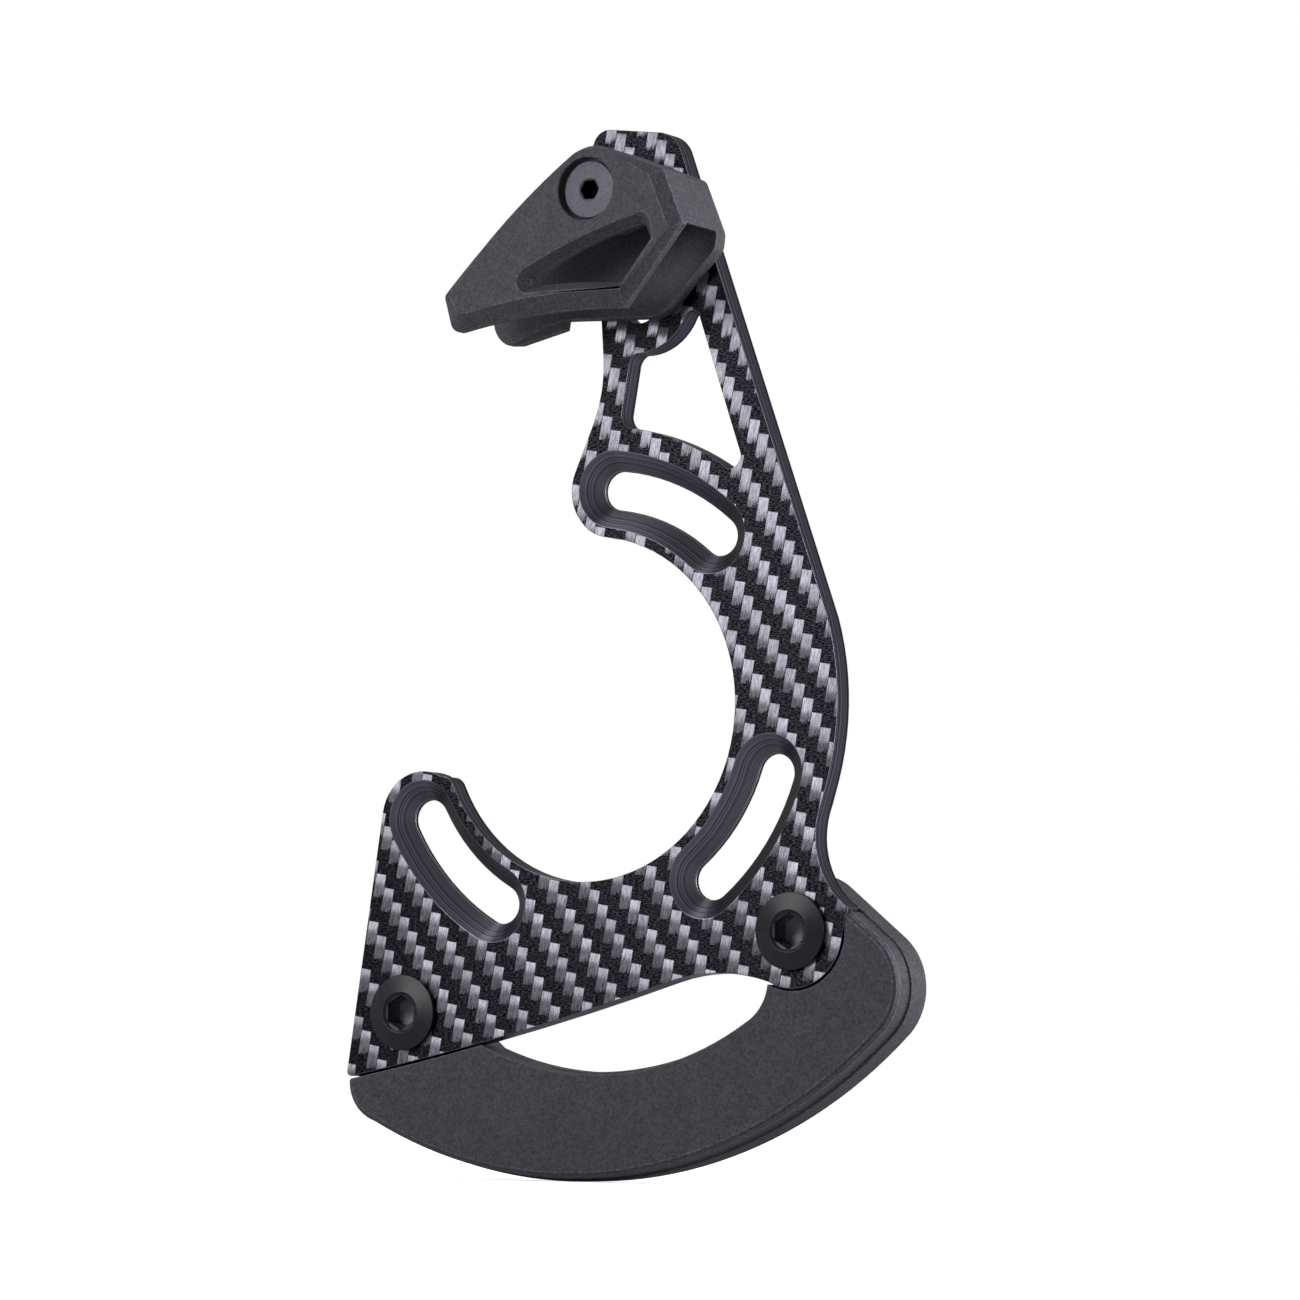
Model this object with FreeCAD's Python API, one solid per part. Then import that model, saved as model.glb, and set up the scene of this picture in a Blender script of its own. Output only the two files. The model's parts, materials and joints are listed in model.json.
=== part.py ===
"""Chain guide for a single-ring crank: slotted plate, upper guide and bash guard.

Millimetres. X runs forward along the plate, Z up and Y in towards the frame. The origin is
on the crank axis, on the back face of the plate, which bears on the frame's tabs. Points on
an outline are (x, z). A turn is the start and end angle of a round, in degrees from +X to +Z.
"""

import FreeCAD
import Part
import math
import os

# Plate: open C round the crank axis with an upright arm and a foot
plate_thickness = 4.0
slot_circle_radius = 36.5
slot_width = 6.4
countersink_width = 12.8
slot_wall = 1.5
slot_angles = [(50.0, 83.0), (209.0, 241.5), (-50.7, -17.6)]
throat_gap = 0.1
throat_lead = (4.0, 1.0)
horn_low_turn = (171.5, 62.0)
horn_high_turn = (222.0, 157.0)
horn_lead = (6.7, 5.0)
horn_round = 0.5
arm_lean = 4.5
arm_length = 39.3
arm_waist = (2.3, 57.5)
arm_root = (0.3, 46.6)
arm_hollow = (1.85, 51.6)
arm_top_width = 16.0
arm_top_fall = 3.25
arm_left_round = 3.0
arm_right_round = 5.0
right_margin = 11.0
right_turn = (17.2, -14.9)
neck_start = (11.1, -19.9)
neck = (12.7, -27.0)
foot_tip_reach = 10.9
foot_tip_angle = 20.4
foot_lobe_turn = (-2.0, -118.0)
foot_arch = (25.2, -43.4)
foot_arch_end = (17.0, -44.8)
foot_edge = (-15.0, -54.0)
foot_corner = (-46.0, -61.1)
foot_corner_round = 0.8

# Window in the arm: lower points by distance outside the slot circle and angle, upper from its boss
window_ring = 10.4
window_ring_turn = (55.5, 79.0)
window_right_low = (13.6, 54.9)
window_corner_right = (12.15, 54.3)
window_corner_left = (10.7, 81.8)
window_left_low = (12.5, 83.0)
window_boss_rise = 1.29
window_boss_turn = (-92.0, -25.0)
window_apex = (10.7, -3.35)
window_right_high = (11.7, -4.65)
window_left_high = (-1.8, -11.95)
window_corner_high = (-1.4, -10.75)

# Height slot, along the arm, that sets the upper guide to the chainring's size
height_slot_width = 7.2
height_slot_wall = 6.25
bolt_below_top = 13.6
bolt_from_left = 7.54
travel_down = 13.75
travel_up = 1.0

# Upper guide, from its bolt: outline at its full size, and how far it moves in to the front face
guide_tip_high = (-28.05, -15.8)
guide_tip_high_round = 1.0
guide_back = (-14.8, -3.0)
guide_top_start = (-3.3, 6.1)
guide_crown = (0.0, 7.2)
guide_top_end = (3.4, 6.6)
guide_brow = (13.9, 2.4)
guide_point = (17.7, -6.6)
guide_chin = (6.9, -19.8)
guide_jaw = (-7.8, -19.8)
guide_heel = (-19.1, -21.0)
guide_tip_low = (-26.2, -22.3)
guide_tip_low_round = 2.0
bevel_wide = 2.8
bevel_narrow = 1.9
bevel_nose_drop = 0.95
bevel_back = 0.5
inner_brow_round = 1.5
inner_point_low = (17.4, -9.3)
inner_point_round = 2.5
inner_chin_high = (9.6, -17.4)
inner_chin = (7.4, -19.2)
inner_chin_low = (4.0, -19.8)
inner_wing_step = (-11.8, -19.3)
inner_wing = (-12.0, -20.8)
inner_wing_low = (-20.8, -22.9)
inner_tip_low = (-23.0, -22.8)
inner_tip = (-24.8, -21.6)
inner_tip_high = (-26.0, -19.3)
wing_chamfer = (1.3, 1.3)

# Upper guide: depths out from the plate's front face
slide_clearance = 0.1
inner_cheek = 3.0
channel_width = 9.4
outer_cheek = 3.0
bevel_depth = 1.6
roof_joint = 3.5
ceiling_below_bolt = 2.75
bolt_boss_radius = 5.6
key_clearance = 0.2
key_straight = 5.9
key_depth = 3.4
flare_depth = 1.6
flare_start = -15.4

# Window in the outer cheek, from the bolt: its stops at the front face and at the bevel's foot
cheek_window_front = [
    ((-1.1, -8.0), (10.7, -4.5)),
    ((11.8, -5.0), (12.3, -6.0)),
    ((12.9, -8.8),),
    ((7.25, -16.3),),
    ((6.8, -16.65), (6.1, -16.6)),
    ((-2.8, -16.5), (-11.0, -16.6)),
    ((-13.0, -14.4), (-11.5, -12.4)),
]
cheek_window_foot = [
    ((-1.2, -9.4), (9.8, -6.4)),
    ((10.6, -6.5), (10.9, -6.9)),
    ((11.7, -8.8),),
    ((6.5, -15.1),),
    ((6.1, -15.5), (5.5, -15.6)),
    ((-2.8, -15.1), (-10.0, -15.2)),
    ((-11.1, -14.6), (-10.3, -13.9)),
]

# Guide bolt and the slide nut behind the plate
guide_bolt_diameter = 5.0
guide_head_diameter = 9.4
guide_head_rim = 0.6
guide_head_recess = 1.2
guide_head_clearance = 0.5
guide_hex = 3.0
guide_hex_depth = 2.4
guide_hole_clearance = 0.2
seat_clearance = 0.05
nut_width = 13.0
nut_length = 17.0
nut_thickness = 3.2
nut_corner = 2.0
bolt_stand_out = 0.4

# Bash guard: front lip flush with the plate, rear body with two ears behind it
guard_rear_depth = 5.0
guard_step = 0.5
guard_gap = 0.4
guard_inner_radius = 59.6
guard_inner_crest = -88.0
guard_inner_end = -59.0
guard_outer_radius = 77.5
guard_outer_crest = -89.0
guard_edge_round = 1.0
guard_edge_turns = (90, 45, 0)
guard_bolts_at = [(-34.5, -50.2), (39.8, -36.6)]
plate_lobe_radius = 9.2
guard_lobe_angle = -122.0
ear_radius = 9.4
ear_left_turn = (176.0, -8.0)
ear_right_turn = (212.0, 51.3)
lip_overlap = (1.0, 4.0)
lip_nose_inward = 205.0
lip_left_inward = (60.0, 40.0)
guard_left_low = (-41.0, -68.8)
guard_left_round = (-45.0, -65.9)
guard_left_high = (-46.3, -61.8)
guard_inner_left = (-20.0, -55.8)
guard_shoulder = (55.2, -36.9)
guard_nose = (59.6, -45.0)
guard_nose_angle = -42.8
guard_inner_right = (33.6, -48.7)

# Guard bolts and the hex nuts held in pockets behind the guard's ears
guard_head_diameter = 12.6
guard_head_height = 1.5
guard_head_rim = 0.9
guard_mouth_diameter = 6.8
guard_mouth_depth = 0.4
guard_hex = 5.0
guard_hex_depth = 4.0
guard_hex_turn = 30.0
guard_thread_diameter = 6.0
guard_thread_end = 0.6
guard_hole_clearance = 0.3
guard_nut_width = 10.0
guard_nut_height = 3.2
guard_nut_clearance = 0.1

# Places that follow from the sizes above
past = 1.0
crank_axis = (0.0, 0.0)
front = -plate_thickness
slot_lobe_radius = countersink_width / 2 + slot_wall
crank_clearance_radius = slot_circle_radius - slot_lobe_radius - throat_gap
guide_seat = front - slide_clearance
channel_inner = guide_seat - inner_cheek
roof_split = channel_inner - roof_joint
channel_outer = channel_inner - channel_width
guide_front = channel_outer - outer_cheek
bevel_foot = guide_front + bevel_depth
guide_head_top = guide_front + guide_head_recess
guide_head_seat = guide_head_top + guide_head_rim
guide_head_height = (guide_head_diameter - guide_bolt_diameter) / 2
nut_back = slide_clearance + nut_thickness


def point(xz, y):
    return FreeCAD.Vector(xz[0], y, xz[1])


def polar(radius, angle, centre=crank_axis):
    turn = math.radians(angle)
    return (centre[0] + radius * math.cos(turn), centre[1] + radius * math.sin(turn))


def shift(xz, direction, distance=1.0):
    return (xz[0] + direction[0] * distance, xz[1] + direction[1] * distance)


def sweep(radius, turn, centre=crank_axis):
    """Two stops of a round: a line to its start, and the arc from there to its end."""
    start, end = turn
    middle = polar(radius, (start + end) / 2, centre)
    return (polar(radius, start, centre),), (middle, polar(radius, end, centre))


def rounded(before, corner, after, radius):
    """Start, middle and end of the arc that rounds the corner between two straight legs."""
    legs = []
    for end in (before, after):
        length = math.dist(corner, end)
        legs.append(((end[0] - corner[0]) / length, (end[1] - corner[1]) / length))
    half = math.acos(legs[0][0] * legs[1][0] + legs[0][1] * legs[1][1]) / 2
    reach = radius / math.tan(half)
    inward = (radius / math.sin(half) - radius) / (2 * math.cos(half))
    middle = shift(shift(corner, legs[0], inward), legs[1], inward)
    return shift(corner, legs[0], reach), middle, shift(corner, legs[1], reach)


def wire(stops, y):
    """Closed wire at depth y. A stop is (end,) for a line, or (via, end) for an arc."""
    edges = []
    here = point(stops[-1][-1], y)
    for stop in stops:
        end = point(stop[-1], y)
        if len(stop) == 1:
            edges.append(Part.LineSegment(here, end).toShape())
        else:
            edges.append(Part.Arc(here, point(stop[0], y), end).toShape())
        here = end
    return Part.Wire(edges)


def slab(stops, y_start, y_end):
    """Solid between two depths with the outline of the stops."""
    return Part.Face(wire(stops, y_start)).extrude(FreeCAD.Vector(0, y_end - y_start, 0))


def taper(stops_start, y_start, stops_end, y_end):
    """Solid that runs straight from one outline to another with as many edges."""
    return Part.makeLoft([wire(stops_start, y_start), wire(stops_end, y_end)], True, True)


def rod(xz, radius, y_start, y_end):
    return Part.makeCylinder(radius, y_end - y_start, point(xz, y_start), FreeCAD.Vector(0, 1, 0))


def cone(xz, radius_start, radius_end, y_start, y_end):
    axis = FreeCAD.Vector(0, 1, 0)
    return Part.makeCone(radius_start, radius_end, y_end - y_start, point(xz, y_start), axis)


def hexagon(xz, across_flats, y_start, y_end, turn=0.0):
    corner = across_flats / math.sqrt(3)
    return slab([(polar(corner, turn + 60 * i, xz),) for i in range(6)], y_start, y_end)


def capsule(start, end, radius):
    """Outline of a straight slot with round ends at two centres."""
    heading = math.degrees(math.atan2(end[1] - start[1], end[0] - start[0]))
    return [
        (polar(radius, heading + 90, end),),
        (polar(radius, heading, end), polar(radius, heading - 90, end)),
        (polar(radius, heading - 90, start),),
        (polar(radius, heading + 180, start), polar(radius, heading + 90, start)),
    ]


def moved(stops, offset):
    """The same stops with every point moved."""
    return [tuple(shift(xz, offset) for xz in stop) for stop in stops]


def off_circle(place):
    """Point at a distance outside the slot circle and an angle."""
    return polar(slot_circle_radius + place[0], place[1])


# The arm carries the height slot and the guide, so their places follow from its top
arm_direction = polar(1.0, 90 + arm_lean)
arm_across = polar(1.0, arm_lean)
arm_top_left = shift(arm_waist, arm_direction, arm_length)
arm_top_right = shift(shift(arm_top_left, arm_across, arm_top_width), arm_direction, -arm_top_fall)
guide_bolt_at = shift(shift(arm_top_left, arm_across, bolt_from_left), arm_direction, -bolt_below_top)
slot_low = shift(guide_bolt_at, arm_direction, -travel_down - key_straight / 2)
slot_high = shift(guide_bolt_at, arm_direction, travel_up + key_straight / 2)
foot_tip = polar(foot_tip_reach, foot_tip_angle, guard_bolts_at[1])


def plate_outline():
    right_start, right_arc = sweep(slot_circle_radius + right_margin, right_turn)
    left = rounded(arm_waist, arm_top_left, arm_top_right, arm_left_round)
    right = rounded(arm_top_left, arm_top_right, *right_start, arm_right_round)
    high_angle = slot_angles[0][1]
    low_angle = slot_angles[1][0]
    lobe_high = polar(slot_circle_radius, high_angle)
    lobe_low = polar(slot_circle_radius, low_angle)
    throat_turn = (low_angle - throat_lead[0], high_angle + throat_lead[1] + 360)
    throat_start, throat_arc = sweep(crank_clearance_radius, throat_turn)
    horn_start, horn_arc = sweep(slot_lobe_radius, horn_high_turn, lobe_high)
    horn_radius = crank_clearance_radius + horn_round
    return [
        (left[0],),
        (left[1], left[2]),
        (right[0],),
        (right[1], right[2]),
        right_start,
        right_arc,
        (off_circle(neck_start),),
        (off_circle(neck), foot_tip),
        *sweep(plate_lobe_radius, foot_lobe_turn, guard_bolts_at[1]),
        (foot_arch, foot_arch_end),
        (foot_edge, foot_corner),
        *sweep(slot_lobe_radius, horn_low_turn, lobe_low),
        (polar(horn_radius, low_angle - horn_lead[0]), *throat_start),
        throat_arc,
        (polar(horn_radius, high_angle + horn_lead[1]), *horn_start),
        horn_arc,
        (arm_root,),
        (arm_hollow, arm_waist),
    ]


def plate_window():
    boss = shift(slot_low, arm_direction, window_boss_rise)
    boss_radius = height_slot_width / 2 + height_slot_wall
    boss_start, boss_arc = sweep(boss_radius, window_boss_turn, boss)
    ring_start, ring_arc = sweep(slot_circle_radius + window_ring, window_ring_turn)
    return [
        boss_arc,
        (shift(boss, window_apex), shift(boss, window_right_high)),
        (off_circle(window_right_low),),
        (off_circle(window_corner_right), *ring_start),
        ring_arc,
        (off_circle(window_corner_left), off_circle(window_left_low)),
        (shift(boss, window_left_high),),
        (shift(boss, window_corner_high), *boss_start),
    ]


def arc_slot(start, end):
    """Cutter for a slot along the slot circle, countersunk all round from the front."""
    half = slot_width / 2
    wide = countersink_width / 2
    land = front + wide - half
    section = [(-half, past), (half, past), (half, land), (wide + past, front - past)]
    section += [(-wide - past, front - past), (-half, land), (-half, past)]
    loop = [FreeCAD.Vector(slot_circle_radius + r, y, 0) for r, y in section]
    face = Part.Face(Part.makePolygon(loop))
    axis = FreeCAD.Vector(0, -1, 0)
    face.rotate(FreeCAD.Vector(), axis, start)
    cutter = face.revolve(FreeCAD.Vector(), axis, end - start)
    for angle in (start, end):
        centre = polar(slot_circle_radius, angle)
        cutter = cutter.fuse(rod(centre, half, front, past))
        cutter = cutter.fuse(cone(centre, wide + past, half, front - past, land))
    return cutter


def guard_hole(at, y_start, y_end):
    """Cutter for a guard bolt's clearance hole, past both ends."""
    return rod(at, guard_thread_diameter / 2 + guard_hole_clearance, y_start - past, y_end + past)


def make_backplate():
    plate = slab(plate_outline(), front, 0)
    middle = point(foot_corner, front / 2)
    corner = [edge for edge in plate.Edges if edge.CenterOfMass.distanceToPoint(middle) < foot_corner_round]
    plate = plate.makeFillet(foot_corner_round, corner)
    cuts = [arc_slot(start, end) for start, end in slot_angles]
    cuts.append(slab(plate_window(), front - past, past))
    cuts.append(slab(capsule(slot_low, slot_high, height_slot_width / 2), front - past, past))
    for bolt in guard_bolts_at:
        cuts.append(guard_hole(bolt, front, 0))
    return plate.cut(cuts)


def guide_outline(bevel):
    """Outline of the guide: bevel 0 is the full size, 1 the flat of the front face."""
    back = (bevel_back * bevel, -bevel_back * bevel)
    up = (0, bevel_wide * bevel)
    tip_in = (bevel_narrow * bevel, 0)
    nose_in = (-bevel_narrow * bevel, -bevel_nose_drop * bevel)
    tip_low = shift(shift(guide_tip_low, up), tip_in)
    tip_high = shift(guide_tip_high, tip_in)
    low = rounded(shift(guide_heel, up), tip_low, tip_high, guide_tip_low_round)
    high = rounded(tip_low, tip_high, shift(guide_back, back), guide_tip_high_round)
    stops = [
        (shift(guide_back, back), shift(guide_top_start, back)),
        (shift(guide_crown, back), shift(guide_top_end, back)),
        (shift(guide_brow, nose_in),),
        (shift(guide_point, nose_in),),
        (shift(guide_chin, up),),
        (shift(guide_jaw, up), low[0]),
        (low[1], low[2]),
        (high[0],),
        (high[1], high[2]),
    ]
    return moved(stops, guide_bolt_at)


def guide_roof(outline, y_start, y_end):
    """Block over the chain, with a boss round the bolt that reaches below its ceiling."""
    ceiling_radius = math.dist(crank_axis, guide_bolt_at) - ceiling_below_bolt
    roof = slab(outline, y_start, y_end)
    roof = roof.cut(rod(crank_axis, ceiling_radius, y_start - past, y_end + past))
    return roof.fuse(rod(guide_bolt_at, bolt_boss_radius, y_start, y_end))


def bolt_hole(y_start, y_end):
    return rod(guide_bolt_at, guide_bolt_diameter / 2 + guide_hole_clearance, y_start, y_end)


def make_guide_outer():
    cheek = taper(guide_outline(1), guide_front, guide_outline(0), bevel_foot)
    cheek = cheek.fuse(slab(guide_outline(0), bevel_foot, channel_outer))
    cheek = cheek.fuse(guide_roof(guide_outline(0), channel_outer, roof_split))
    window = moved(cheek_window_front, guide_bolt_at)
    window_foot = moved(cheek_window_foot, guide_bolt_at)
    head = guide_head_diameter / 2
    seat = guide_head_seat + seat_clearance
    cuts = [
        taper(window, guide_front, window_foot, bevel_foot),
        slab(window_foot, bevel_foot, channel_outer),
        rod(guide_bolt_at, head + guide_head_clearance, guide_front - past, seat),
        cone(guide_bolt_at, head, guide_bolt_diameter / 2, seat, seat + guide_head_height),
        bolt_hole(guide_front, roof_split + past),
    ]
    return cheek.cut(cuts).removeSplitter()


def inner_outline():
    brow = rounded(guide_top_end, guide_brow, guide_point, inner_brow_round)
    nose = rounded(guide_brow, guide_point, inner_point_low, inner_point_round)
    low = rounded(guide_point, inner_point_low, inner_chin_high, inner_point_round)
    high = rounded(inner_tip_high, guide_tip_high, guide_back, guide_tip_high_round)
    stops = [
        (guide_back, guide_top_start),
        (guide_crown, guide_top_end),
        (brow[0],),
        (brow[1], brow[2]),
        (nose[0],),
        (nose[1], nose[2]),
        (low[0],),
        (low[1], low[2]),
        (inner_chin_high,),
        (inner_chin, inner_chin_low),
        (inner_wing_step,),
        (inner_wing,),
        (inner_wing_low,),
        (inner_tip_low,),
        (inner_tip, inner_tip_high),
        (high[0],),
        (high[1], high[2]),
    ]
    return moved(stops, guide_bolt_at)


def wing_edge():
    """Cutter that slopes the wing's lower edge on the chain's side, up to its step."""
    run = (inner_wing[0] - inner_wing_low[0], inner_wing[1] - inner_wing_low[1])
    height, depth = wing_chamfer
    start = shift(shift(guide_bolt_at, inner_wing_low), run, -1)
    corners = [
        point(shift(start, (0, height)), channel_inner),
        point(shift(start, (0, -height)), channel_inner),
        point(shift(start, (0, -height)), channel_inner + 2 * depth),
        point(shift(start, (0, height)), channel_inner),
    ]
    return Part.Face(Part.makePolygon(corners)).extrude(FreeCAD.Vector(2 * run[0], 0, 2 * run[1]))


def make_guide_inner():
    half = slab(inner_outline(), channel_inner, guide_seat)
    half = half.fuse(guide_roof(inner_outline(), roof_split, channel_inner))
    key_low = shift(guide_bolt_at, arm_direction, -key_straight / 2)
    key_high = shift(guide_bolt_at, arm_direction, key_straight / 2)
    key = capsule(key_low, key_high, height_slot_width / 2 - key_clearance)
    half = half.fuse(slab(key, guide_seat, guide_seat + key_depth))
    flare = guide_bolt_at[0] + flare_start
    reach = guide_bolt_at[0] + guide_tip_high[0] - past
    lead_in = Part.makePolygon([
        FreeCAD.Vector(flare, channel_inner, 0),
        FreeCAD.Vector(reach, channel_inner, 0),
        FreeCAD.Vector(reach, channel_inner + flare_depth, 0),
        FreeCAD.Vector(flare, channel_inner, 0),
    ])
    wedge = Part.Face(lead_in).extrude(FreeCAD.Vector(0, 0, guide_bolt_at[1] + guide_crown[1]))
    return half.cut([wedge, wing_edge(), bolt_hole(roof_split - past, past)]).removeSplitter()


def make_guide_bolt():
    radius = guide_bolt_diameter / 2
    head = guide_head_diameter / 2
    shank = guide_head_seat + guide_head_height
    bolt = rod(guide_bolt_at, head, guide_head_top, guide_head_seat)
    bolt = bolt.fuse(cone(guide_bolt_at, head, radius, guide_head_seat, shank))
    bolt = bolt.fuse(rod(guide_bolt_at, radius, shank, nut_back + bolt_stand_out))
    return bolt.cut(hexagon(guide_bolt_at, guide_hex, guide_head_top, guide_head_top + guide_hex_depth))


def make_guide_nut():
    corners = []
    for side, end in ((-1, -1), (-1, 1), (1, 1), (1, -1)):
        middle = shift(guide_bolt_at, arm_across, side * nut_width / 2)
        corners.append(shift(middle, arm_direction, end * nut_length / 2))
    stops = []
    for i in range(4):
        start, _, end = rounded(corners[i - 1], corners[i], corners[(i + 1) % 4], nut_corner)
        stops += [(start,), (end,)]
    nut = slab(stops, slide_clearance, nut_back)
    return nut.cut(rod(guide_bolt_at, guide_bolt_diameter / 2, -past, nut_back + past))


def guard_rear_outline():
    left, right = guard_bolts_at
    inner = guard_inner_radius
    outer = guard_outer_radius
    return [
        *sweep(ear_radius, ear_left_turn, left),
        (guard_inner_left,),
        (polar(inner, guard_inner_crest), polar(inner, guard_inner_end)),
        (guard_inner_right, polar(plate_lobe_radius, guard_lobe_angle, right)),
        *sweep(ear_radius, ear_right_turn, right),
        (guard_shoulder,),
        (guard_nose, polar(outer, guard_nose_angle)),
        (polar(outer, guard_outer_crest), guard_left_low),
        (guard_left_round, guard_left_high),
    ]


def guard_lip_outline(inset):
    """Front part, its outer edge set in from the rear, before the plate's foot is taken out."""
    inward = polar(inset, lip_nose_inward)
    low_in, round_in = [polar(inset, angle) for angle in lip_left_inward]
    inner = guard_inner_radius + guard_step
    inner_end = guard_inner_end + math.degrees(guard_step / inner)
    outer = guard_outer_radius - inset
    right = guard_bolts_at[1]
    lobe_angle = guard_lobe_angle + math.degrees(guard_step / plate_lobe_radius)
    return [
        (shift(shift(guard_left_high, lip_overlap), (inset, 0)),),
        (shift(guard_inner_left, (guard_step, guard_step)),),
        (polar(inner, guard_inner_crest), polar(inner, inner_end)),
        (shift(guard_inner_right, (guard_step, 0)), polar(plate_lobe_radius, lobe_angle, right)),
        (right,),
        (shift(foot_tip, inward),),
        (shift(guard_shoulder, inward),),
        (shift(guard_nose, inward), polar(outer, guard_nose_angle)),
        (polar(outer, guard_outer_crest), shift(guard_left_low, low_in)),
        (shift(guard_left_round, round_in), shift(guard_left_high, (inset, 0))),
    ]


def make_guard_lip():
    """Front part with its outer edge rounded in equal turns."""
    rings = []
    for turn in guard_edge_turns:
        inset = guard_step + guard_edge_round * (1 - math.cos(math.radians(turn)))
        depth = front + guard_edge_round * (1 - math.sin(math.radians(turn)))
        rings.append(wire(guard_lip_outline(inset), depth))
    lip = Part.makeLoft(rings, True, True)
    lip = lip.fuse(slab(guard_lip_outline(guard_step), front + guard_edge_round, 0))
    foot = slab(plate_outline(), front - past, past)
    foot.translate(FreeCAD.Vector(0, 0, -guard_gap))
    lobe = rod(guard_bolts_at[1], plate_lobe_radius + guard_gap, front - past, past)
    return lip.cut([foot, lobe])


def make_bash_guard():
    guard = make_guard_lip().fuse(slab(guard_rear_outline(), 0, guard_rear_depth))
    pocket = guard_nut_width + 2 * guard_nut_clearance
    floor = guard_rear_depth - guard_nut_height
    cuts = []
    for bolt in guard_bolts_at:
        cuts.append(guard_hole(bolt, 0, guard_rear_depth))
        cuts.append(hexagon(bolt, pocket, floor, guard_rear_depth + past))
    return guard.cut(cuts).removeSplitter()


def make_guard_bolt(at):
    head = guard_head_diameter / 2
    mouth = guard_mouth_diameter / 2
    top = front - guard_head_height
    rim = front - guard_head_rim
    bolt = rod(at, head, rim, front).fuse(cone(at, mouth, head, top, rim))
    shank_end = guard_rear_depth - guard_thread_end
    bolt = bolt.fuse(rod(at, guard_thread_diameter / 2, front, shank_end))
    cuts = [
        cone(at, mouth, mouth - guard_mouth_depth, top, top + guard_mouth_depth),
        hexagon(at, guard_hex, top, top + guard_hex_depth, guard_hex_turn),
    ]
    return bolt.cut(cuts).removeSplitter()


def make_guard_nut(at):
    nut = hexagon(at, guard_nut_width, guard_rear_depth - guard_nut_height, guard_rear_depth)
    return nut.cut(rod(at, guard_thread_diameter / 2, 0, guard_rear_depth + past))


pieces = {
    "backplate": make_backplate(),
    "guide_outer": make_guide_outer(),
    "guide_inner": make_guide_inner(),
    "guide_bolt": make_guide_bolt(),
    "guide_nut": make_guide_nut(),
    "bash_guard": make_bash_guard(),
    "guard_bolts": Part.makeCompound([make_guard_bolt(at) for at in guard_bolts_at]),
    "guard_nuts": Part.makeCompound([make_guard_nut(at) for at in guard_bolts_at]),
}

os.makedirs("parts", exist_ok=True)
for name, shape in pieces.items():
    shape.exportStep("parts/" + name + ".step")
    solids = len(shape.Solids)
    print(name, "solids", solids, "volume", round(shape.Volume), "valid", shape.isValid())
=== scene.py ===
# %% [markdown]
# # A chain guide in carbon laminate and moulded nylon
# The part keeps the chain of a mountain bike on its ring. A flat carbon plate is bolted beside the
# bottom bracket, a moulded guide sits over the chain at the top, and a moulded guard takes the
# knocks below. Its solids are exact already, so this lesson dresses them: each surface gets a
# finish that is worked out from what the real material is, each piece gets the small rounded edges
# that tools leave, and the stage shows it as a studio would.

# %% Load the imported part
import bmesh
import bpy
import json
import math
from mathutils import Matrix, Vector


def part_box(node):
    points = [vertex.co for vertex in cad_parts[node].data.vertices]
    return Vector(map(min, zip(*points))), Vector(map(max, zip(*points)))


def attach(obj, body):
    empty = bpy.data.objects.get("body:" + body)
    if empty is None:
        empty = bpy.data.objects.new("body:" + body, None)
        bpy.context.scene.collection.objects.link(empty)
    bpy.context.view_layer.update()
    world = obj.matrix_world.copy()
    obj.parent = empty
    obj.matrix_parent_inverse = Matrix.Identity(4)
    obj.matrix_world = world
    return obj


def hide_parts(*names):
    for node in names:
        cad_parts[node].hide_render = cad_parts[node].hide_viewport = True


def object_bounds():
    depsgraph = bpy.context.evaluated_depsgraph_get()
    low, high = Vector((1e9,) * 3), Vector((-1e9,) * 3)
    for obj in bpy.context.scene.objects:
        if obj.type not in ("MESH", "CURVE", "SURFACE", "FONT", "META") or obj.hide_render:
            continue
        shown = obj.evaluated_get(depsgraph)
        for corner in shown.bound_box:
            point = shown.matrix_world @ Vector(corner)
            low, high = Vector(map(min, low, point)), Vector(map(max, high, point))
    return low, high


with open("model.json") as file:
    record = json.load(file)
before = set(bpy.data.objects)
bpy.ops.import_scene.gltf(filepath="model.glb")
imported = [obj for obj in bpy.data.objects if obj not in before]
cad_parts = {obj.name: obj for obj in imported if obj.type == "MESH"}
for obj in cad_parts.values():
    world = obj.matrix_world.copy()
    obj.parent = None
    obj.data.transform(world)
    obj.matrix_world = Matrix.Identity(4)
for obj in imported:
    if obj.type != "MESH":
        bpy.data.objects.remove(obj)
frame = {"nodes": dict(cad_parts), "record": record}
cad_box = [list(corner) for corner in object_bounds()]
mm = 0.001
nodes = frame["nodes"]
bodies = frame["record"]["behaviour"]["bodies"]
body_of = {name: body for body, names in bodies.items() for name in names}
print("nodes", body_of)
print("size in mm", [round((high - low) / mm, 1) for low, high in zip(*cad_box)])

# %% [markdown]
# ## Three helpers
# Colours are written as the hex values that a paint chart or a screen shows. The renderer wants
# linear light, so one function converts them. A second function adds a node, sets it up and links
# it, so that each finish below reads as a list of what it is made of. A third starts a material.


# %% Colours and nodes
def linear(code):
    """Linear RGBA of an sRGB hex colour, by the curve of the sRGB standard."""
    parts = [int(code[i:i + 2], 16) / 255 for i in (1, 3, 5)]
    light = [p / 12.92 if p <= 0.04045 else ((p + 0.055) / 1.055) ** 2.4 for p in parts]
    return (*light, 1.0)


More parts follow.
